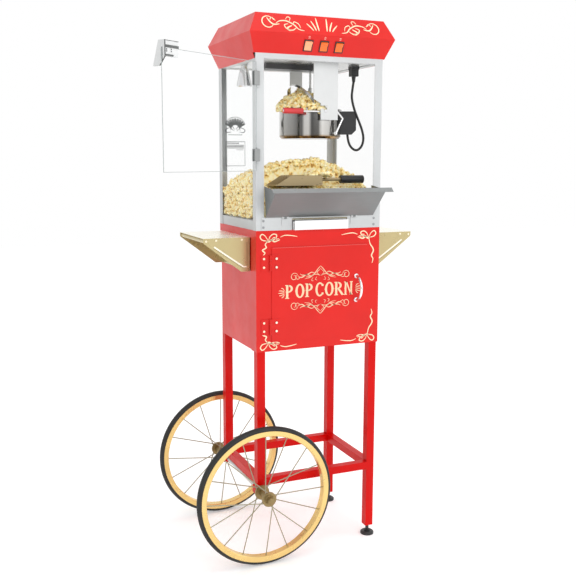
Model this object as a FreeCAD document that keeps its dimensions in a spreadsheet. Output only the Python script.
import FreeCAD, Part
import math
import os
import Sketcher
from types import SimpleNamespace

# Popcorn cart: a red sheet-steel cabinet on a square-tube frame with two spoked wheels and two levelling
# feet, carrying a glazed popcorn machine with a tilting kettle. Millimetres. Origin on the floor at the
# middle of the cabinet's footprint, X to the right along the front, Y towards the back, Z up.

doc = FreeCAD.newDocument("popcorn_cart")
sheet = doc.addObject("Spreadsheet::Sheet", "dims")

DRIVING = {
    # cabinet and frame
    "cab_width": 386, "cab_depth": 308, "cab_bottom": 609, "cab_top": 951, "steel": 1.5, "skirt": 22,
    "hem": 3, "frame_return": 38.5, "leg_side": 24.5, "leg_inset": 3, "tube_wall": 1.5,
    "left_leg_end": 213, "right_leg_end": 30, "rail_side": 23, "lug_height": 22,
    # wheels and feet
    "wheel_radius": 203, "wheel_offset": 45, "tyre_radius": 11, "rim_half": 12.4, "rim_depth": 15,
    "rim_wall": 1.2, "axle_radius": 6, "axle_inset": 9, "hub_half": 37, "flange_radius": 21,
    "flange_place": 27, "flange_thick": 6, "spoke_radius": 1.5, "running_gap": 0.05,
    "foot_radius": 20.5, "stud_radius": 5,
    # cabinet door
    "door_left": 147, "door_right": 155, "door_low": 636, "door_high": 903, "door_lap": 11, "pan_deep": 12,
    "knuckle_radius": 3.5, "pin_radius": 1.5, "hinge_height": 44, "leaf_wide": 23, "door_leaf": 25,
    # side shelves
    "shelf_reach": 136, "shelf_front": 105, "shelf_back": 125, "shelf_level": 930, "shelf_drop": 96,
    "bar_radius": 6, "bar_ease": 0.4,
    # machine body
    "post_side": 24, "panel_height": 36, "floor_level": 978, "header_low": 1412, "header_height": 14,
    "waist": 1478, "hood_top": 1530, "overhang": 25, "glass": 3,
    # drawer and apron
    "drawer_half": 83, "drawer_depth": 205, "apron_length": 116, "apron_half": 167, "apron_open": 45,
    # glass door
    "door_glass": 4, "door_wide": 364, "door_bottom": 1114.5, "door_tall": 286, "door_open": 149,
    # kettle
    "kettle_x": 29, "kettle_y": 20, "pot_radius": 93, "pot_bottom": 1205, "pot_rim": 1288, "pivot": 1281,
    "trunnion": 4, "drive_radius": 3.3, "lid_hinge_back": 12, "lid_hinge_rise": 15, "lid_open": 56,
    # kettle lead
    "lead_radius": 3.5,
}


class Size:
    """A length that knows its number and the sheet expression that gives it."""

    def __init__(self, number, text):
        self.number = float(number)
        self.text = text

    def __add__(self, other):
        other = as_size(other)
        return Size(self.number + other.number, f"({self.text} + {other.text})")

    def __sub__(self, other):
        other = as_size(other)
        return Size(self.number - other.number, f"({self.text} - {other.text})")

    def __mul__(self, other):
        other = as_size(other)
        return Size(self.number * other.number, f"({self.text} * {other.text})")

    def __truediv__(self, other):
        other = as_size(other)
        return Size(self.number / other.number, f"({self.text} / {other.text})")

    def __radd__(self, other):
        return as_size(other) + self

    def __rsub__(self, other):
        return as_size(other) - self

    def __rmul__(self, other):
        return as_size(other) * self

    def __neg__(self):
        return Size(-self.number, f"(0 - {self.text})")


def as_size(value):
    if isinstance(value, Size):
        return value
    return Size(value, f"({value:.6g})")


for row, (alias, value) in enumerate(DRIVING.items(), start=1):
    sheet.set(f"A{row}", alias)
    sheet.set(f"B{row}", str(value))
    sheet.setAlias(f"B{row}", alias)
doc.recompute()

D = SimpleNamespace(**{alias: Size(value, f"dims.{alias}") for alias, value in DRIVING.items()})

NODES = []
helper_count = 0


def helper_name(stem):
    """A fresh object name for a feature that is only part of a sub-part."""
    global helper_count
    helper_count += 1
    return f"{stem}_{helper_count}"


def bind(obj, prop, value):
    obj.setExpression(prop, as_size(value).text)


def place(obj, corner, axis=(0, 0, 1), angle=0):
    """Puts an object at a bound position, turned by a fixed angle about an axis through it."""
    corner = [as_size(value) for value in corner]
    rotation = FreeCAD.Rotation(FreeCAD.Vector(*axis), angle)
    obj.Placement = FreeCAD.Placement(FreeCAD.Vector(*[value.number for value in corner]), rotation)
    for letter, value in zip("xyz", corner):
        bind(obj, f"Placement.Base.{letter}", value)
    return obj


def box(low, high):
    """A block between two corners."""
    obj = doc.addObject("Part::Box", helper_name("block"))
    for prop, start, end in zip(("Length", "Width", "Height"), low, high):
        span = as_size(end) - as_size(start)
        setattr(obj, prop, span.number)
        bind(obj, prop, span)
    return place(obj, low)


TURN_TO = {"x": ((0, 1, 0), 90), "y": ((1, 0, 0), -90), "z": ((0, 0, 1), 0)}


def rod(radius, length, base, along="z"):
    """A round bar that starts at base and runs along +X, +Y or +Z."""
    obj = doc.addObject("Part::Cylinder", helper_name("rod"))
    bind(obj, "Radius", radius)
    bind(obj, "Height", length)
    axis, angle = TURN_TO[along]
    return place(obj, base, axis, angle)


def cut(base, *tools):
    result = base
    for tool in tools:
        step = doc.addObject("Part::Cut", helper_name("cut"))
        step.Base = result
        step.Tool = tool
        result = step
    return result


def fuse(*shapes):
    obj = doc.addObject("Part::MultiFuse", helper_name("fuse"))
    obj.Shapes = list(shapes)
    return obj


def group(*shapes):
    """Separate solids of one sub-part."""
    obj = doc.addObject("Part::Compound", helper_name("group"))
    obj.Links = list(shapes)
    return obj


def node(name, obj):
    """Names a finished sub-part; the name is its file's name."""
    obj.Label = name
    NODES.append(obj)
    return obj


def sketch(body, plane, *outlines):
    """Closed straight-sided outlines on one of the body's own planes, every corner bound to the sheet."""
    drawing = body.newObject("Sketcher::SketchObject", helper_name("sketch"))
    support = [item for item in body.Origin.OriginFeatures if item.Role == plane][0]
    drawing.AttachmentSupport = [(support, "")]
    drawing.MapMode = "FlatFace"
    first = 0
    for outline in outlines:
        corners = [(as_size(across), as_size(up)) for across, up in outline]
        count = len(corners)
        for index, (across, up) in enumerate(corners):
            next_across, next_up = corners[(index + 1) % count]
            start = FreeCAD.Vector(across.number, up.number, 0)
            end = FreeCAD.Vector(next_across.number, next_up.number, 0)
            drawing.addGeometry(Part.LineSegment(start, end), False)
        for index, (across, up) in enumerate(corners):
            edge = first + index
            joined = Sketcher.Constraint("Coincident", edge, 2, first + (index + 1) % count, 1)
            drawing.addConstraint(joined)
            for kind, value in (("DistanceX", across), ("DistanceY", up)):
                number = drawing.addConstraint(Sketcher.Constraint(kind, -1, 1, edge, 1, value.number))
                drawing.setExpression(f"Constraints[{number}]", value.text)
        first += count
    return drawing


def pad(plane, length, *outlines):
    """A body with one sketch padded along its plane's normal: XY up, YZ to the right, XZ to the front."""
    body = doc.addObject("PartDesign::Body", helper_name("body"))
    drawing = sketch(body, plane, *outlines)
    feature = body.newObject("PartDesign::Pad", helper_name("pad"))
    feature.Profile = drawing
    bind(feature, "Length", length)
    return body


def revolve(plane, axis, outline):
    """A body turned from one outline about its sketch's H_Axis or V_Axis."""
    body = doc.addObject("PartDesign::Body", helper_name("body"))
    drawing = sketch(body, plane, outline)
    feature = body.newObject("PartDesign::Revolution", helper_name("revolution"))
    feature.Profile = drawing
    feature.ReferenceAxis = (drawing, [axis])
    feature.Angle = 360
    return body


def shape_node(name, shape, corner=(0, 0, 0)):
    """A sub-part whose shape no feature makes, such as a bent lead."""
    obj = doc.addObject("Part::Feature", helper_name("solid"))
    obj.Shape = shape
    place(obj, corner)
    return node(name, obj)


half_w = D.cab_width / 2
half_d = D.cab_depth / 2


# ---- frame: legs, stretchers and levelling feet ----

leg_out_x = half_w - D.leg_inset
leg_out_y = half_d - D.leg_inset
leg_in_x = leg_out_x - D.leg_side
leg_in_y = leg_out_y - D.leg_side
axle_x = D.axle_inset - half_w
axle_z = D.wheel_radius


def square_tube(low, high, along):
    """A square tube between two corners, open at both ends along one axis."""
    inner_low = [value if letter == along else value + D.tube_wall for letter, value in zip("xyz", low)]
    inner_high = [value if letter == along else value - D.tube_wall for letter, value in zip("xyz", high)]
    return cut(box(low, high), box(inner_low, inner_high))


def leg(side, end, bottom):
    """One upright; side and end are -1 or 1 for left or right and front or back."""
    low_x = -leg_out_x if side < 0 else leg_in_x
    low_y = -leg_out_y if end < 0 else leg_in_y
    low = (low_x, low_y, bottom)
    high = (low_x + D.leg_side, low_y + D.leg_side, D.cab_bottom)
    return square_tube(low, high, "z")


def left_leg(end):
    """A left upright with the lug below it that carries the axle."""
    low_y = -leg_out_y if end < 0 else leg_in_y
    low = (axle_x - 12, low_y, D.left_leg_end - D.lug_height)
    lug = box(low, (axle_x + 12, low_y + D.leg_side, D.left_leg_end))
    bore = rod(D.axle_radius + D.running_gap, D.leg_side, (axle_x, low_y, axle_z), "y")
    return cut(fuse(leg(-1, end, D.left_leg_end), lug), bore)


def right_leg(end):
    """A right upright with a threaded plug in its foot."""
    low_y = -leg_out_y if end < 0 else leg_in_y
    low = (leg_in_x + D.tube_wall, low_y + D.tube_wall, D.right_leg_end)
    span = D.leg_side - D.tube_wall * 2
    plug = box(low, (low[0] + span, low[1] + span, D.right_leg_end + 12))
    middle = (leg_in_x + D.leg_side / 2, low_y + D.leg_side / 2, D.right_leg_end)
    bore = rod(D.stud_radius + D.running_gap, 12, middle)
    return cut(fuse(leg(1, end, D.right_leg_end), plug), bore)


def stretcher(low, length, along):
    span = [length if letter == along else D.rail_side for letter in "xyz"]
    high = [start + size for start, size in zip(low, span)]
    return square_tube(low, high, along)


node("legs", group(left_leg(-1), left_leg(1), right_leg(-1), right_leg(1)))

across = leg_in_x * 2
along_side = leg_in_y * 2
rail_z = D.left_leg_end
stretchers = [
    stretcher((-leg_in_x, -leg_out_y, rail_z), across, "x"),
    stretcher((-leg_in_x, leg_out_y - D.rail_side, rail_z), across, "x"),
    stretcher((-leg_out_x, -leg_in_y, rail_z), along_side, "y"),
    stretcher((leg_out_x - D.rail_side, -leg_in_y, rail_z), along_side, "y"),
]
node("stretchers", group(*stretchers))


def levelling_foot(end):
    """A foot disc on a threaded stud, turned in one piece."""
    disc = D.foot_radius
    stud = D.stud_radius
    outline = [(0, 0), (disc, 0), (disc, 6), (disc - 4, 9), (9, 9), (9, 13), (stud, 13), (stud, 56), (0, 56)]
    middle_y = leg_out_y - D.leg_side / 2
    foot = revolve("XZ_Plane", "V_Axis", outline)
    return place(foot, (leg_out_x - D.leg_side / 2, middle_y if end > 0 else -middle_y, 0))


node("front_foot", levelling_foot(-1))
node("rear_foot", levelling_foot(1))


# ---- wheels, turning about the Y axis ----

SPOKES = 16
HUB_LEAD = 30
RIM_GAP = 0.3


def spoke(index):
    """One wire from a hub flange to the rim, leaning back or forward in turn so that pairs cross."""
    rim_angle = math.radians(360 * index / SPOKES)
    lean = HUB_LEAD if index % 4 < 2 else -HUB_LEAD
    hub_angle = rim_angle + math.radians(lean)
    side = 1 if index % 2 else -1
    hub_reach = D.flange_radius.number + RIM_GAP
    rim_reach = D.wheel_radius.number - D.tyre_radius.number - D.rim_depth.number - RIM_GAP
    flange_y = side * D.flange_place.number
    start = FreeCAD.Vector(hub_reach * math.cos(hub_angle), flange_y, hub_reach * math.sin(hub_angle))
    end = FreeCAD.Vector(rim_reach * math.cos(rim_angle), side * 3, rim_reach * math.sin(rim_angle))
    wire = doc.addObject("Part::Cylinder", helper_name("spoke"))
    bind(wire, "Radius", D.spoke_radius)
    wire.Height = (end - start).Length
    turn = FreeCAD.Rotation(FreeCAD.Vector(0, 0, 1), end - start)
    wire.Placement = FreeCAD.Placement(start, turn)
    return wire


def wheel(name, end):
    """A solid tyre, channel rim, wire spokes and flanged hub."""
    middle = (axle_x, (half_d + D.wheel_offset) * end, axle_z)
    tyre = doc.addObject("Part::Torus", helper_name("tyre"))
    bind(tyre, "Radius1", D.wheel_radius - D.tyre_radius)
    bind(tyre, "Radius2", D.tyre_radius)
    node(f"{name}_tyre", place(tyre, middle, (1, 0, 0), 90))

    outer = D.wheel_radius - D.tyre_radius
    seat = D.wheel_radius - D.tyre_radius * 2 - 0.1
    half = D.rim_half
    inner = half - D.rim_wall
    low = outer - D.rim_depth
    channel = [(-half, outer), (-half, low + 2), (2 - half, low), (half - 2, low), (half, low + 2)]
    channel += [(half, outer), (inner, outer), (inner, seat), (-inner, seat), (-inner, outer)]
    node(f"{name}_rim", place(revolve("YZ_Plane", "H_Axis", channel), middle))

    spokes = group(*[spoke(index) for index in range(SPOKES)])
    node(f"{name}_spokes", place(spokes, middle))

    bore = D.axle_radius + D.running_gap
    flange_in = D.flange_place - D.flange_thick / 2
    flange_out = D.flange_place + D.flange_thick / 2
    half_outline = [(flange_in, 10), (flange_in, D.flange_radius), (flange_out, D.flange_radius)]
    half_outline += [(flange_out, 13), (D.hub_half - 3, 11), (D.hub_half, 11), (D.hub_half, bore)]
    mirrored = [(-across_y, up) for across_y, up in reversed(half_outline)]
    node(f"{name}_hub", place(revolve("YZ_Plane", "H_Axis", half_outline + mirrored), middle))


wheel("front_wheel", -1)
wheel("rear_wheel", 1)

axle_end = half_d + D.wheel_offset + D.hub_half + 9
node("axle", rod(D.axle_radius, axle_end * 2, (axle_x, -axle_end, axle_z), "y"))


def axle_nut(end):
    """A hexagon nut with a domed cap over the end of the axle; end is -1 or 1."""
    seat = half_d + D.wheel_offset + D.hub_half + 0.3
    bore = D.axle_radius + D.running_gap
    outline = [(0, bore), (0, 12), (2, 12), (2, 10), (9, 10), (12, 7), (13, 3), (13, 0), (9.5, 0), (9.5, bore)]
    nut = revolve("YZ_Plane", "H_Axis", [(across_y * end, up) for across_y, up in outline])
    return place(nut, (axle_x, seat * end, axle_z))


def axle_spacer(end):
    """The tube between a leg's lug and its hub."""
    start = leg_out_y + 0.2
    stop = half_d + D.wheel_offset - D.hub_half - 0.3
    base = (axle_x, start if end > 0 else -stop, axle_z)
    tube = rod(10, stop - start, base, "y")
    return cut(tube, rod(D.axle_radius + D.running_gap, stop - start, base, "y"))


node("axle_nuts_and_spacers", group(axle_nut(-1), axle_nut(1), axle_spacer(-1), axle_spacer(1)))


# ---- cabinet ----

wall_out = half_w - D.hem
wall_in = wall_out - D.steel
plate_back = D.steel - half_d
back_out = half_d - D.hem
back_in = back_out - D.steel
deck_under = D.cab_top - D.steel

shell_outline = [
    (-wall_out, plate_back), (-wall_in, plate_back), (-wall_in, back_in),
    (wall_in, back_in), (wall_in, plate_back), (wall_out, plate_back),
    (wall_out, back_out), (-wall_out, back_out),
]
wrap = place(pad("XY_Plane", deck_under - D.cab_bottom, shell_outline), (0, 0, D.cab_bottom))
base_plate = box((-wall_in, plate_back, D.cab_bottom), (wall_in, back_in, D.cab_bottom + D.steel))
node("cabinet_shell", fuse(wrap, base_plate))

deck_cover = box((-half_w, plate_back, D.cab_top - D.skirt), (half_w, half_d, D.cab_top))
deck_hollow = box((D.steel - half_w, plate_back, D.cab_top - D.skirt), (half_w - D.steel, half_d - D.steel, deck_under))
node("cabinet_deck", cut(deck_cover, deck_hollow))

hole_left = D.door_lap - 3 - D.door_left
hole_right = D.door_right - D.door_lap + 3
hole_low = D.door_low + D.door_lap - 3
hole_high = D.door_high - D.door_lap + 3
face_outline = [(-half_w, D.cab_bottom), (half_w, D.cab_bottom), (half_w, D.cab_top), (-half_w, D.cab_top)]
hole_outline = [(hole_left, hole_low), (hole_right, hole_low), (hole_right, hole_high), (hole_left, hole_high)]
face_plate = place(pad("XZ_Plane", D.steel, face_outline, hole_outline), (0, plate_back, 0))
return_top = D.cab_top - D.skirt
returns = []
for low_x in (-half_w, wall_out):
    low = (low_x, plate_back, D.cab_bottom)
    returns.append(box(low, (low_x + D.hem, plate_back + D.frame_return, return_top)))
node("cabinet_face_frame", fuse(face_plate, *returns))

# door: a lapped front plate with a shallow pan behind it that fills the hole
lap_back = -half_d - 0.3
lap_front = lap_back - D.steel
pan_left = D.door_lap - D.door_left
pan_right = D.door_right - D.door_lap
pan_low = D.door_low + D.door_lap
pan_high = D.door_high - D.door_lap
lap_plate = box((-D.door_left, lap_front, D.door_low), (D.door_right, lap_back, D.door_high))
pan = box((pan_left, lap_back, pan_low), (pan_right, lap_back + D.pan_deep, pan_high))
pan_hollow = box(
    (pan_left + D.steel, lap_back, pan_low + D.steel),
    (pan_right - D.steel, lap_back + D.pan_deep, pan_high - D.steel),
)
node("cabinet_door", fuse(lap_plate, cut(pan, pan_hollow)))

hinge_x = -D.door_left - 5
hinge_y = -half_d - 3.8
knuckle = (D.hinge_height - 1) / 3
hinge_levels = (D.door_low + 22, D.door_high - 20 - D.hinge_height)


def fixed_leaf(level):
    """The frame's half of a butt hinge: leaf, two knuckles and the pin."""
    leaf_right = hinge_x - D.knuckle_radius - 0.3
    leaf = box((leaf_right - D.leaf_wide, -half_d - D.steel, level), (leaf_right, -half_d, level + D.hinge_height))
    pieces = [leaf, rod(D.pin_radius, D.hinge_height, (hinge_x, hinge_y, level))]
    for start in (level, level + D.hinge_height - knuckle):
        pieces.append(box((leaf_right, -half_d - D.steel, start), (hinge_x, -half_d, start + knuckle)))
        pieces.append(rod(D.knuckle_radius, knuckle, (hinge_x, hinge_y, start)))
    return fuse(*pieces)


def moving_leaf(level):
    """The door's half of a butt hinge: leaf and middle knuckle."""
    leaf_left = hinge_x + D.knuckle_radius + 0.8
    front = lap_front - D.steel
    start = level + knuckle + 0.5
    leaf = box((leaf_left, front, level), (leaf_left + D.door_leaf, lap_front, level + D.hinge_height))
    tab = box((hinge_x, front, start), (leaf_left, lap_front, start + knuckle))
    barrel = rod(D.knuckle_radius, knuckle, (hinge_x, hinge_y, start))
    bore = rod(D.pin_radius + D.running_gap, knuckle, (hinge_x, hinge_y, start))
    return cut(fuse(leaf, tab, barrel), bore)


def button_head(radius, height, base, along, sign=1):
    """A low screw head whose outer face has a cross-shaped driver recess left to the finish."""
    obj = rod(radius, height, base, along)
    if sign < 0:
        bind(obj, f"Placement.Base.{along}", as_size(base["xyz".index(along)]) - height)
    return obj


node("cabinet_hinge_frame_leaves", group(*[fixed_leaf(level) for level in hinge_levels]))
door_leaf_pieces = [moving_leaf(level) for level in hinge_levels]
for level in hinge_levels:
    for lift in (10, 34):
        spot = (hinge_x + 17.5, lap_front - D.steel, level + lift)
        door_leaf_pieces.append(button_head(3.2, 1.2, spot, "y", -1))
node("cabinet_hinge_door_leaves", group(*door_leaf_pieces))

pull = doc.addObject("Part::Torus", helper_name("pull"))
pull.Radius1 = 35
pull.Radius2 = 4
pull.Angle3 = 180
pull_spot = (D.door_right - 38, lap_front, 776.5)
place(pull, pull_spot, (1, 0, 1), 180)
pull_ends = [rod(6.5, 3, (pull_spot[0], lap_front - 3, pull_spot[2] + offset), "y") for offset in (-35, 35)]
node("cabinet_door_pull", fuse(pull, *pull_ends))


# ---- side shelves with push bars ----

shelf_end = half_w + D.shelf_reach
shelf_under = D.shelf_level - D.steel
bar_x = shelf_end - D.bar_radius - 2
bar_z = shelf_under - D.bar_radius - D.bar_ease
cheek_front = D.steel - D.shelf_front
cheek_back = D.shelf_back - D.steel


def side_shelf(side):
    """A folded shelf: flat top, two triangular cheeks and a flange against the cabinet; side is -1 or 1."""
    root = half_w
    low = D.shelf_level - D.shelf_drop
    tip = bar_z - D.bar_radius - 1
    cheek = [(root, low), (root + 26, low), (shelf_end - 3, tip), (shelf_end, tip + 3), (shelf_end, D.shelf_level)]
    cheek.append((root, D.shelf_level))
    outline = [(across_x * side, up) for across_x, up in cheek]
    pieces = []
    for plane_y in (cheek_front, D.shelf_back):
        pieces.append(place(pad("XZ_Plane", D.steel, outline), (0, plane_y, 0)))
    ends = (root, shelf_end) if side > 0 else (-shelf_end, -root)
    flange = (root, root + D.steel) if side > 0 else (-root - D.steel, -root)
    pieces.append(box((ends[0], cheek_front, shelf_under), (ends[1], cheek_back, D.shelf_level)))
    pieces.append(box((flange[0], cheek_front, low), (flange[1], cheek_back, shelf_under)))
    return fuse(*pieces)


node("side_shelf_left", side_shelf(-1))
node("side_shelf_right", side_shelf(1))
bar_length = cheek_back - cheek_front
node("push_bars", group(*[rod(D.bar_radius, bar_length, (bar_x * side, cheek_front, bar_z), "y")
                          for side in (-1, 1)]))


# ---- machine body: panels, posts, rails, glass ----

post_in_x = half_w - D.post_side
post_in_y = half_d - D.post_side
panel_top = D.cab_top + D.panel_height


def corner_post(side, end):
    """An angle post with its corner outwards."""
    across_flange = [(half_w, half_d), (post_in_x, half_d), (post_in_x, half_d - D.steel)]
    across_flange += [(half_w - D.steel, half_d - D.steel), (half_w - D.steel, post_in_y), (half_w, post_in_y)]
    outline = [(across_x * side, back * end) for across_x, back in across_flange]
    return place(pad("XY_Plane", D.header_low - D.cab_top, outline), (0, 0, D.cab_top))


node("corner_posts", group(*[corner_post(side, end) for side in (-1, 1) for end in (-1, 1)]))

slot_half = D.drawer_half + 3
panel_half = half_w - 15
front_outline = [
    (-panel_half, D.cab_top), (-slot_half, D.cab_top), (-slot_half, D.cab_top + 32),
    (slot_half, D.cab_top + 32), (slot_half, D.cab_top), (panel_half, D.cab_top),
    (panel_half, panel_top), (-panel_half, panel_top),
]
front_panel = place(pad("XZ_Plane", D.steel, front_outline), (0, -half_d, 0))
rear_panel = box((-panel_half, half_d, D.cab_top), (panel_half, half_d + D.steel, panel_top))
side_panels = []
for low_x in (-wall_out - D.steel, wall_out):
    high = (low_x + D.steel, half_d - D.steel, D.floor_level)
    side_panels.append(box((low_x, D.steel - half_d, D.cab_top), high))
node("base_panels", group(front_panel, rear_panel, *side_panels))

floor_half_x = wall_out - D.glass - 0.5
floor_half_y = half_d - D.steel - 0.2
floor_body = doc.addObject("PartDesign::Body", "floor_body")
edge = [(-floor_half_x, -floor_half_y), (floor_half_x, -floor_half_y)]
edge += [(floor_half_x, floor_half_y), (-floor_half_x, floor_half_y)]
floor_pad = floor_body.newObject("PartDesign::Pad", "floor_pad")
floor_pad.Profile = sketch(floor_body, "XY_Plane", edge)
bind(floor_pad, "Length", D.steel)
slot_edge = [(-55, -100), (55, -100), (55, -94), (-55, -94)]
floor_slot = floor_body.newObject("PartDesign::Pocket", "floor_slot")
floor_slot.Profile = sketch(floor_body, "XY_Plane", slot_edge)
floor_slot.Type = "ThroughAll"
floor_slot.Midplane = True
doc.recompute()
floor_slots = floor_body.newObject("PartDesign::LinearPattern", "floor_slots")
floor_slots.Originals = [floor_slot]
floor_slots.Direction = (floor_slot.Profile[0], ["V_Axis"])
floor_slots.Length = 120
floor_slots.Occurrences = 9
floor_body.Tip = floor_slots
node("popcorn_floor", place(floor_body, (0, 0, D.floor_level)))

header_top = D.header_low + D.header_height
ring_x = half_w - D.steel - 0.1
ring_y = half_d - D.steel - 0.1
ring = box((-ring_x, -half_d, D.header_low), (ring_x, ring_y, header_top))
ring_hole = box((-post_in_x, -post_in_y, D.header_low), (post_in_x, post_in_y, header_top))
ring_step = box(
    (D.steel - ring_x, D.steel - half_d, D.header_low + D.steel),
    (ring_x - D.steel, ring_y - D.steel, header_top),
)
front_rail = box((-half_w, -half_d, D.header_low), (half_w, D.steel - half_d, header_top))
node("top_rails", fuse(cut(ring, ring_hole, ring_step), front_rail))

pane_end = half_d - 4
panes = []
for low_x in (-wall_out, wall_out - D.glass):
    panes.append(box((low_x, -pane_end, D.floor_level - 6), (low_x + D.glass, pane_end, D.header_low)))
rear_face = half_d - D.steel - D.glass - 0.2
rear_half = wall_out - D.glass - 0.5
rear_low = D.floor_level + D.steel
panes.append(box((-rear_half, rear_face, rear_low), (rear_half, rear_face + D.glass, D.header_low)))
node("fixed_glass", group(*panes))

kettle_x = D.kettle_x
kettle_y = -D.kettle_y
ceiling_low = D.header_low + D.steel
ceiling = box(
    (D.steel - ring_x + 0.4, D.steel - half_d + 0.4, ceiling_low),
    (ring_x - D.steel - 0.4, ring_y - D.steel - 0.4, ceiling_low + D.steel),
)
lamp_spot = (-146, 60)
ceiling_holes = [
    rod(8, D.steel, (kettle_x, kettle_y, ceiling_low)),
    rod(7, D.steel, (lamp_spot[0], lamp_spot[1], ceiling_low)),
]
node("ceiling_panel", cut(ceiling, *ceiling_holes))


# ---- hood: a folded cover that leans out to its waist and back in to the top ----

waist_x = half_w + D.overhang
waist_y = half_d + D.overhang
slope = D.overhang / (D.waist - header_top)
front_start = half_d - slope * D.header_height


def frustum(low, low_rect, high, high_rect):
    """A wedge between two levels; each rectangle is (half width, front reach, back reach)."""
    obj = doc.addObject("Part::Wedge", helper_name("frustum"))
    values = {
        "Xmin": -low_rect[0], "Xmax": low_rect[0], "X2min": -high_rect[0], "X2max": high_rect[0],
        "Ymin": as_size(0), "Ymax": high - low,
        "Zmin": -low_rect[2], "Zmax": low_rect[1], "Z2min": -high_rect[2], "Z2max": high_rect[1],
    }
    for prop, value in values.items():
        bind(obj, prop, value)
    return place(obj, (0, 0, low), (1, 0, 0), 90)


def inset(rect, amount):
    return tuple(value - amount for value in rect)


low_rect = (half_w, front_start, half_d)
waist_rect = (waist_x, waist_y, waist_y)
top_rect = (half_w, half_d, half_d)
hood_outer = fuse(frustum(D.header_low, low_rect, D.waist, waist_rect), frustum(D.waist, waist_rect, D.hood_top, top_rect))
hood_inner = fuse(
    frustum(D.header_low, inset(low_rect, D.steel), D.waist, inset(waist_rect, D.steel)),
    frustum(D.waist, inset(waist_rect, D.steel), D.hood_top - D.steel, inset(top_rect, D.steel)),
)
front_gap = box((-waist_x, -waist_y, D.header_low), (waist_x, D.steel - front_start, header_top))

SWITCH_PLACES = {"kettle": -45, "stirrer": 2, "lamp": 48}
BEZEL = (13, 15.5, 2.5)
SLEEVE = (10.5, 13, 16)
face_lean = math.degrees(math.atan(slope.number))
switch_turn = 90 + face_lean
switch_z = (header_top + D.waist) / 2 - 2
switch_y = -half_d - slope * (switch_z - header_top)


def on_slope(obj, across_x):
    """Moves a piece drawn flat, facing +Z, onto the hood's front slope."""
    return place(obj, (across_x, switch_y, switch_z), (1, 0, 0), switch_turn)


def flat_block(half_x, half_y, low, high):
    return box((-half_x, -half_y, low), (half_x, half_y, high))


switch_holes = []
for across_x in SWITCH_PLACES.values():
    hole_block = flat_block(SLEEVE[0] + 1.3, SLEEVE[1] + 1.3, -6, 6)
    switch_holes.append(on_slope(group(hole_block), across_x))
inlet_hole = box((-120, half_d, D.waist - 40), (-90, waist_y, D.waist - 16))
node("hood", cut(hood_outer, hood_inner, front_gap, inlet_hole, *switch_holes))

ROCKER_PIVOT = -4
ROCKER_PIN = 1.5
bezels = []
for across_x in SWITCH_PLACES.values():
    flange = flat_block(BEZEL[0], BEZEL[1], 0.1, BEZEL[2])
    sleeve = flat_block(SLEEVE[0] + 1, SLEEVE[1] + 1, -SLEEVE[2], 0.1)
    hollow = flat_block(SLEEVE[0], SLEEVE[1], 1.5 - SLEEVE[2], BEZEL[2])
    pin_bore = rod(ROCKER_PIN + D.running_gap, SLEEVE[0] * 2 + 4, (-SLEEVE[0] - 2, 0, ROCKER_PIVOT), "x")
    bezels.append(on_slope(cut(fuse(flange, sleeve), hollow, pin_bore), across_x))
node("switch_bezels", group(*bezels))

ROCKER_TILT = 7
for label, across_x in SWITCH_PLACES.items():
    outline = [(-11.8, -7), (11.8, -7), (11.8, 3.6), (0, 1.6), (-11.8, 3.6)]
    pin_reach = SLEEVE[0] + 0.8 - 10.2
    pin = rod(ROCKER_PIN, 20.4 + pin_reach * 2, (-pin_reach, 0, ROCKER_PIVOT), "x")
    rocker = fuse(pad("YZ_Plane", 20.4, outline), pin)
    tilt = math.radians(switch_turn + ROCKER_TILT)
    up = math.radians(switch_turn)
    lift_y = ROCKER_PIVOT * (math.sin(tilt) - math.sin(up))
    lift_z = ROCKER_PIVOT * (math.cos(up) - math.cos(tilt))
    spot = (across_x - 10.2, switch_y + lift_y, switch_z + lift_z)
    node(f"{label}_rocker", place(rocker, spot, (1, 0, 0), switch_turn + ROCKER_TILT))


# ---- under the ceiling: gearmotor, drive shaft, kettle arms, socket, lamp ----

gear_case = box((-116, kettle_y - 16, ceiling_low - 14), (kettle_x + 16, kettle_y + 30, ceiling_low))
shaft_bore = rod(D.drive_radius + D.running_gap, 14, (kettle_x, kettle_y, ceiling_low - 14))
motor_low = ceiling_low + D.steel
motor = box((-60, kettle_y - 28, motor_low), (10, kettle_y + 28, motor_low + 46))
node("gearmotor", group(cut(gear_case, shaft_bore), motor))

drive_low = D.pivot + 57
drive = [(0, drive_low), (6, drive_low), (6, drive_low + 12), (D.drive_radius, drive_low + 14)]
drive += [(D.drive_radius, motor_low - 0.3), (0, motor_low - 0.3)]
node("drive_shaft", place(revolve("XZ_Plane", "V_Axis", drive), (kettle_x, kettle_y, 0)))

arm_gap = D.pot_radius + 9.5
front_arm_outline = [
    (kettle_x - 37, ceiling_low), (kettle_x - 37, D.pivot + 32), (kettle_x - 15, D.pivot + 20),
    (kettle_x - 15, D.pivot - 25), (kettle_x + 38, D.pivot - 25), (kettle_x + 38, ceiling_low),
]
rear_arm_outline = [
    (kettle_x - 20, ceiling_low), (kettle_x - 20, D.pivot - 19), (kettle_x + 20, D.pivot - 19),
    (kettle_x + 20, ceiling_low),
]
arms = []
for outline, front in ((front_arm_outline, kettle_y - arm_gap), (rear_arm_outline, kettle_y + arm_gap + 3)):
    arm = place(pad("XZ_Plane", 3, outline), (0, front, 0))
    clear = D.trunnion + 0.1
    back = front - 3
    seat = rod(clear, 3, (kettle_x, back, D.pivot), "y")
    drop = box((kettle_x - clear, back, D.pivot), (kettle_x + clear, front, D.pivot + 14))
    entry = box((kettle_x - 21, back, D.pivot + 6), (kettle_x + clear, front, D.pivot + 14))
    arms.append(cut(arm, seat, drop, entry))
node("kettle_arms", group(*arms))

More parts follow.
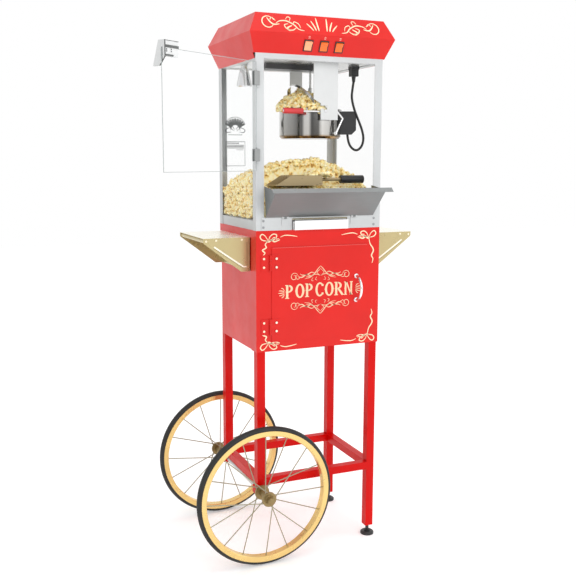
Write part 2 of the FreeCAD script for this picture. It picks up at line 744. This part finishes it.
plug_x = 156
plug_y = -49
socket = box((plug_x - 12, plug_y - 12, ceiling_low - 8), (plug_x + 12, plug_y + 12, ceiling_low))
inlet = box((-119, half_d - 6, D.waist - 39), (-91, waist_y - 7.5, D.waist - 17))
node("power_sockets", group(socket, inlet))

lamp_low = ceiling_low - 57
lamp_outline = [
    (22, lamp_low), (23, lamp_low), (12.5, lamp_low + 48), (8, lamp_low + 57), (0, lamp_low + 57),
    (0, lamp_low + 44), (11, lamp_low + 44),
]
node("lamp_shade", place(revolve("XZ_Plane", "V_Axis", lamp_outline), (lamp_spot[0], lamp_spot[1], 0)))
bulb_outline = [
    (0, lamp_low + 6), (6, lamp_low + 7), (11, lamp_low + 11), (12.5, lamp_low + 17), (11, lamp_low + 23),
    (7, lamp_low + 30), (6, lamp_low + 44), (0, lamp_low + 44),
]
node("lamp_bulb", place(revolve("XZ_Plane", "V_Axis", bulb_outline), (lamp_spot[0], lamp_spot[1], 0)))


# ---- glass door, drawn closed along +X from its pivot line and then swung open ----

door_axis_x = 4 - half_w
door_axis_y = -half_d - 8
PIVOT_PIN = 2
CLAMPS = ((1140, 33), (1340, 37))


def swing(obj):
    return place(obj, (door_axis_x, door_axis_y, 0), (0, 0, 1), -DRIVING["door_open"])


half_glass = D.door_glass / 2
door_top = D.door_bottom + D.door_tall
pane = box((8, -half_glass, D.door_bottom), (D.door_wide, half_glass, door_top))
node("glass_door", swing(group(pane)))

clamps = []
for level, height in CLAMPS:
    barrel = rod(5, height, (0, 0, level))
    plates = box((0, -5, level), (20, 5, level + height))
    pane_slot = box((7.8, -half_glass, level), (20, half_glass, level + height))
    clamps.append(cut(fuse(barrel, plates), pane_slot, rod(PIVOT_PIN + D.running_gap, height, (0, 0, level))))
node("glass_door_clamps", swing(group(*clamps)))

pivots = []
for level, height in CLAMPS:
    ears = []
    for ear_low in (level - 4, level + height + 0.5):
        ears.append(box((door_axis_x - 5, door_axis_y - 5, ear_low), (door_axis_x + 5, -half_d, ear_low + 3.5)))
    back = box((door_axis_x - 4, -half_d - D.steel, level - 4), (door_axis_x + 14, -half_d, level + height + 4))
    pin = rod(PIVOT_PIN, height + 8, (door_axis_x, door_axis_y, level - 4))
    pivots.append(fuse(back, pin, *ears))
node("glass_door_pivots", group(*pivots))

clip_left = D.door_wide - 54
clip_right = D.door_wide - 6
clip_low = door_top - 19
clip_high = door_top + 17
clip = box((clip_left, -5, clip_low), (clip_right, 5, clip_high))
clip_slot = box((clip_left, -half_glass, clip_low), (clip_right, half_glass, door_top))
lever = [(7, clip_high), (-11, clip_high), (-29, clip_low - 22), (-10, clip_low - 22), (7, clip_low - 2)]
lever_plate = place(pad("YZ_Plane", 4, lever), (clip_right - 1, 0, 0))
lever_slot = box((clip_right - 1, -half_glass - 0.2, clip_low - 22), (clip_right + 3, half_glass + 0.2, door_top))
latch_body = fuse(cut(clip, clip_slot), cut(lever_plate, lever_slot))
node("glass_door_latch", swing(latch_body))


# ---- serving apron, drawn upright on its hinge line and then tipped out ----

apron_y = -half_d - D.steel - 3.3
apron_z = panel_top - 1
APRON_HINGES = (-108, 106)
SHEET = 1.2


def tip(obj):
    return place(obj, (0, apron_y, apron_z), (1, 0, 0), DRIVING["apron_open"])


apron_panel = box((-D.apron_half, -SHEET / 2, 2), (D.apron_half, SHEET / 2, D.apron_length))
apron_lip = box(
    (-D.apron_half - 14, -15, D.apron_length - SHEET),
    (D.apron_half + 14, SHEET / 2, D.apron_length),
)
cheek_outline = [(0, 6), (68, 54), (0, D.apron_length - 8)]
apron_parts = [apron_panel, apron_lip]
for low_x in (-D.apron_half, D.apron_half - SHEET):
    apron_parts.append(place(pad("YZ_Plane", SHEET, cheek_outline), (low_x, 0, 0)))
apron_cuts = []
for middle in APRON_HINGES:
    apron_parts.append(rod(3, 8, (middle - 4, 0, 0), "x"))
    apron_parts.append(box((middle - 4, -SHEET / 2, 0), (middle + 4, SHEET / 2, 4)))
    apron_cuts.append(rod(1.5 + D.running_gap, 8, (middle - 4, 0, 0), "x"))
    for start in (middle - 10, middle + 4):
        apron_cuts.append(box((start, -4, -4), (start + 6, 4, 4)))
node("apron", tip(cut(fuse(*apron_parts), fuse(*apron_cuts))))

apron_hinges = []
for middle in APRON_HINGES:
    plate = box((middle - 9.7, -half_d - D.steel * 2, apron_z - 22), (middle + 9.7, -half_d - D.steel, apron_z - 5))
    pieces = [plate, rod(1.5, 19.4, (middle - 9.7, apron_y, apron_z), "x")]
    for start in (middle - 9.7, middle + 4.3):
        pieces.append(rod(3, 5.4, (start, apron_y, apron_z), "x"))
        low = (start, -half_d - D.steel * 2, apron_z - 6)
        pieces.append(box(low, (start + 5.4, -half_d - D.steel, apron_z)))
    apron_hinges.append(fuse(*pieces))
node("apron_hinges", group(*apron_hinges))


# ---- crumb drawer sliding out to the front ----

drawer_low = D.cab_top + 0.4
drawer_front = -half_d - D.steel * 2
tray = box((-D.drawer_half, drawer_front, drawer_low), (D.drawer_half, drawer_front + D.drawer_depth, drawer_low + 23))
tray_hollow = box(
    (SHEET - D.drawer_half, drawer_front + SHEET, drawer_low + SHEET),
    (D.drawer_half - SHEET, drawer_front + D.drawer_depth - SHEET, drawer_low + 23),
)
pull_profile = [
    (0, 0), (-12, 0), (-12, 26), (-12 + SHEET, 26), (-12 + SHEET, SHEET), (0, SHEET),
]
drawer_lip = place(pad("YZ_Plane", D.drawer_half * 2, pull_profile), (-D.drawer_half, drawer_front, drawer_low))
node("drawer", fuse(cut(tray, tray_hollow), drawer_lip))


# ---- kettle, drawn about its tilting axis ----

def hang(obj, turn=0):
    return place(obj, (kettle_x, kettle_y, D.pivot), (0, 0, 1), turn)


base_z = D.pot_bottom - D.pivot
rim_z = D.pot_rim - D.pivot
wall_r = D.pot_radius - 3
pot_outline = [
    (0, base_z), (wall_r - 6, base_z), (wall_r, base_z + 6), (wall_r, rim_z - 1.5), (D.pot_radius, rim_z - 1.5),
    (D.pot_radius, rim_z), (wall_r - 10, rim_z), (wall_r - 10, rim_z - 1.5), (wall_r - 1.5, rim_z - 1.5),
    (wall_r - 1.5, base_z + 6.6), (wall_r - 6.6, base_z + 1.5), (0, base_z + 1.5),
]
rear_pin = rod(D.trunnion, 18.5, (0, wall_r - 1, 0), "y")
pot_with_pin = fuse(revolve("XZ_Plane", "V_Axis", pot_outline), rear_pin)
node("kettle_pot", hang(pot_with_pin))

# fixed half of the lid with the stirrer's bush and the flap's hinge brackets
LID_RADIUS = 88
FLAP_KNUCKLE = 2.5
hinge_back = -D.lid_hinge_back
hinge_rise = D.lid_hinge_rise
half_lid = cut(
    rod(LID_RADIUS, 1.5, (0, 0, rim_z)),
    box((-LID_RADIUS - 1, -LID_RADIUS - 1, rim_z), (hinge_back + 5, LID_RADIUS + 1, rim_z + 1.5)),
)
bridge_parts = [half_lid, rod(10, 14, (0, 0, rim_z + 1.5)), box((-5, -60, rim_z + 1.5), (5, 60, rim_z + 6))]
for side in (-1, 1):
    end = 60 * side
    start = end - 10 if side > 0 else end
    bridge_parts.append(box((hinge_back - 2.5, start, rim_z), (-4, start + 10, hinge_rise)))
    bridge_parts.append(rod(FLAP_KNUCKLE, 10, (hinge_back, start, hinge_rise), "y"))
    pin_start = 39 if side > 0 else -50
    bridge_parts.append(rod(1.25, 11, (hinge_back, pin_start, hinge_rise), "y"))
stirrer_bore = rod(4 + D.running_gap, 30, (0, 0, rim_z - 2))
node("kettle_lid_half", hang(cut(fuse(*bridge_parts), stirrer_bore)))

# lid flap, drawn shut on its hinge line and then raised
cap_middle = D.lid_hinge_back
skirt_low = rim_z - hinge_rise + 0.3
flap_disc = rod(LID_RADIUS, 1.2, (cap_middle, 0, -1.2))
skirt = cut(
    rod(LID_RADIUS, -skirt_low, (cap_middle, 0, skirt_low)),
    rod(LID_RADIUS - 1.2, -skirt_low, (cap_middle, 0, skirt_low)),
)
trim = box((-3, -LID_RADIUS - 1, skirt_low), (cap_middle + LID_RADIUS + 1, LID_RADIUS + 1, 1))
flap_parts = [cut(fuse(flap_disc, skirt), trim)]
for start in (-49.7, 39.7):
    flap_parts.append(rod(FLAP_KNUCKLE, 10, (0, start, 0), "y"))
    flap_parts.append(box((-4, start, -1.2), (0, start + 10, 0)))
flap_bores = [rod(1.25 + D.running_gap, 10, (0, start, 0), "y") for start in (-49.7, 39.7)]
flap = cut(fuse(*flap_parts), *flap_bores)
flap_spot = (kettle_x - D.lid_hinge_back, kettle_y, D.pivot + hinge_rise)
node("lid_flap", place(flap, flap_spot, (0, 1, 0), DRIVING["lid_open"]))

stir_low = base_z + 3
stirrer_parts = [
    rod(4, 50 - stir_low, (0, 0, stir_low)),
    rod(6, 6, (0, 0, 44)),
    box((-78, -3, stir_low), (78, 3, stir_low + 4)),
    box((-3, -50, stir_low), (3, 50, stir_low + 4)),
]
for reach in (-70, 66):
    stirrer_parts.append(box((reach, -2, stir_low), (reach + 4, 2, stir_low + 24)))
node("stirrer", hang(fuse(*stirrer_parts)))

# tilting handle: a bent rod along the front with the front trunnion
rod_y = 1.5 - arm_gap + 3
HANDLE = 3
bend_one = (40, -2)
bend_two = (57, -20)
foot_end = (36, -62)


def bar_between(start, end, radius):
    """A round bar between two points of the handle's plane with ball ends that round the bends."""
    first = FreeCAD.Vector(start[0], 0, start[1])
    last = FreeCAD.Vector(end[0], 0, end[1])
    bar = doc.addObject("Part::Cylinder", helper_name("bar"))
    bar.Radius = radius
    bar.Height = (last - first).Length
    turn = FreeCAD.Rotation(FreeCAD.Vector(0, 0, 1), last - first)
    bar.Placement = FreeCAD.Placement(FreeCAD.Vector(0, 0, 0), turn)
    for letter, value in zip("xyz", (start[0], rod_y, start[1])):
        bind(bar, f"Placement.Base.{letter}", value)
    ball = doc.addObject("Part::Sphere", helper_name("ball"))
    ball.Radius = radius
    place(ball, (end[0], rod_y, end[1]))
    return [bar, ball]


handle_parts = [rod(HANDLE, 166, (-126, rod_y, -2), "x")]
ball = doc.addObject("Part::Sphere", "bend_ball")
ball.Radius = HANDLE
handle_parts.append(place(ball, (bend_one[0], rod_y, bend_one[1])))
handle_parts += bar_between(bend_one, bend_two, HANDLE)
handle_parts += bar_between(bend_two, foot_end, HANDLE)
handle_parts.append(rod(5, -rod_y - 80, (foot_end[0], rod_y, foot_end[1]), "y"))
front_pin_start = -arm_gap - 4.5
handle_parts.append(rod(D.trunnion, -front_pin_start - 80, (0, front_pin_start, 0), "y"))
pot_space = rod(wall_r, 120, (0, 0, -100))
node("tilt_handle", hang(cut(fuse(*handle_parts), pot_space)))

grip = cut(rod(8, 58, (-126, rod_y, -2), "x"), rod(HANDLE, 58, (-126, rod_y, -2), "x"))
node("handle_grip", hang(grip))

BOX_TURN = -23
box_out = D.pot_radius + 41
box_low = base_z + 13
box_outline = [(80, box_low), (box_out - 12, box_low), (box_out, box_low + 12)]
box_outline += [(box_out, -15), (box_out - 7, 3), (80, 3)]
box_body = place(pad("XZ_Plane", 36, box_outline), (0, 18, 0))
terminal = cut(box_body, rod(wall_r, 90, (0, 0, box_low - 5)))
lead_bore = place(group(rod(3.8, 20, (0, 0, 0))), (130, -68, 1199), (1, 0, 0), -11.9)
node("terminal_box", cut(hang(terminal, BOX_TURN), lead_bore))


# ---- kettle lead: a limp round lead from the plug under the ceiling to the box, runs joined by arcs ----

LEAD_POINTS = [
    (156, -49, 1372), (150, -54, 1350), (145, -58, 1325), (150, -66, 1291), (160, -74, 1261),
    (169, -82, 1232), (172, -88, 1206), (165, -89, 1182), (150, -84, 1170), (136, -76, 1180),
    (130, -68, 1199), (130, -64, 1218),
]


def rounded_route(points):
    """Straight runs joined by tangent arcs; returns the edges and the arcs' radii."""
    corners = [FreeCAD.Vector(*point) for point in points]
    edges = []
    radii = []
    here = corners[0]
    for before, corner, after in zip(corners, corners[1:], corners[2:]):
        run_in = corner - before
        run_out = after - corner
        half_turn = run_in.getAngle(run_out) / 2
        setback = 0.45 * min(run_in.Length, run_out.Length)
        start = corner - run_in.normalize() * setback
        end = corner + run_out.normalize() * setback
        radius = setback / math.tan(half_turn)
        radii.append(radius)
        inward = (run_out - run_in).normalize()
        middle = corner + inward * (radius / math.cos(half_turn) - radius)
        edges.append(Part.LineSegment(here, start).toShape())
        edges.append(Part.Arc(start, middle, end).toShape())
        here = end
    edges.append(Part.LineSegment(here, corners[-1]).toShape())
    return edges, radii


lead_radius = DRIVING["lead_radius"]
lead_edges, lead_radii = rounded_route(LEAD_POINTS)
lead_route = Part.Wire(lead_edges)
first_run = FreeCAD.Vector(*LEAD_POINTS[1]) - FreeCAD.Vector(*LEAD_POINTS[0])
lead_section = Part.Wire(Part.makeCircle(lead_radius, FreeCAD.Vector(*LEAD_POINTS[0]), first_run))
lead = lead_route.makePipeShell([lead_section], True, True)
lead_length = sum(part.Length for part in lead_edges)
lead_volume = math.pi * lead_radius ** 2 * lead_length
print("lead radii", [round(radius, 1) for radius in lead_radii])
print("lead length", round(lead_length, 1), "volume ratio", round(lead.Volume / lead_volume, 4))
shape_node("kettle_lead", lead)

relief_end = FreeCAD.Vector(*LEAD_POINTS[0])
plug_low = ceiling_low.number - 8 - 19
plug_body = Part.makeBox(22, 20, 19, FreeCAD.Vector(plug_x - 11, plug_y - 10, plug_low))
plug_neck = Part.makeCone(4.6, 6.5, plug_low - relief_end.z + 3, relief_end, FreeCAD.Vector(0, 0, 1))
under = FreeCAD.Vector(0, 0, 0) - first_run
relief = Part.makeCylinder(4.6, 4, relief_end, under)
lead_space = Part.makeCylinder(lead_radius + 0.3, 12, relief_end, first_run)
plug_shape = plug_body.fuse([plug_neck, relief]).removeSplitter().cut(lead_space)
shape_node("lead_plug", plug_shape)


# ---- scoop lying across the serving opening ----

scoop_y = -111
scoop_low = 1073
scoop_left = -131
scoop_back = 10
scoop_tray = box((scoop_left, scoop_y - 37, scoop_low), (scoop_back, scoop_y + 37, scoop_low + 28))
scoop_hollow = box(
    (scoop_left, scoop_y - 37 + SHEET, scoop_low + SHEET), (scoop_back - SHEET, scoop_y + 37 - SHEET, scoop_low + 28)
)
mouth = [(scoop_left, scoop_low + SHEET), (scoop_left + 46, scoop_low + 28), (scoop_left, scoop_low + 28)]
mouth_cut = place(pad("XZ_Plane", 80, mouth), (0, scoop_y + 40, 0))
neck = rod(5, 74, (scoop_back, scoop_y, scoop_low + 16), "x")
node("scoop_blade", fuse(cut(scoop_tray, scoop_hollow, mouth_cut), neck))
node("scoop_handle", rod(11.5, 73, (scoop_back + 74, scoop_y, scoop_low + 16), "x"))


# ---- visible screw heads on the fixed body ----

heads = []
for side in (-1, 1):
    for level in (D.cab_top + 9, D.cab_top + 27):
        heads.append(rod(3.5, 1.3, (172 * side, -half_d - D.steel - 1.3, level), "y"))
    shelf_screws = [((half_w + reach) * side, shelf_under - 5) for reach in (24, 99)]
    shelf_screws.append((bar_x * side, bar_z))
    for spot_x, spot_z in shelf_screws:
        heads.append(rod(3, 1.2, (spot_x, -D.shelf_front - 1.2, spot_z), "y"))
        heads.append(rod(3, 1.2, (spot_x, D.shelf_back, spot_z), "y"))
for level in hinge_levels:
    for lift in (10, 34):
        spot_x = hinge_x - D.knuckle_radius - 15
        heads.append(rod(3.2, 1.2, (spot_x, -half_d - D.steel - 1.2, level + lift), "y"))
node("screw_heads", group(*heads))


# ---- check everything and write one STEP file for each sub-part ----

doc.recompute()
problems = []
for obj in doc.Objects:
    state = set(obj.State)
    if state & {"Invalid", "Error"}:
        problems.append(f"{obj.Name} {obj.Label} {obj.State}")
for obj in NODES:
    shape = obj.Shape
    if shape.isNull() or not shape.isValid():
        problems.append(f"{obj.Label}: bad shape")
    else:
        print(f"{obj.Label:28s} solids {len(shape.Solids):3d} volume {shape.Volume / 1000:10.2f} cm3")
if problems:
    raise RuntimeError("; ".join(problems))
os.makedirs("parts", exist_ok=True)
for obj in NODES:
    obj.Shape.exportStep(os.path.join("parts", f"{obj.Label}.step"))
print(len(NODES), "sub-parts")
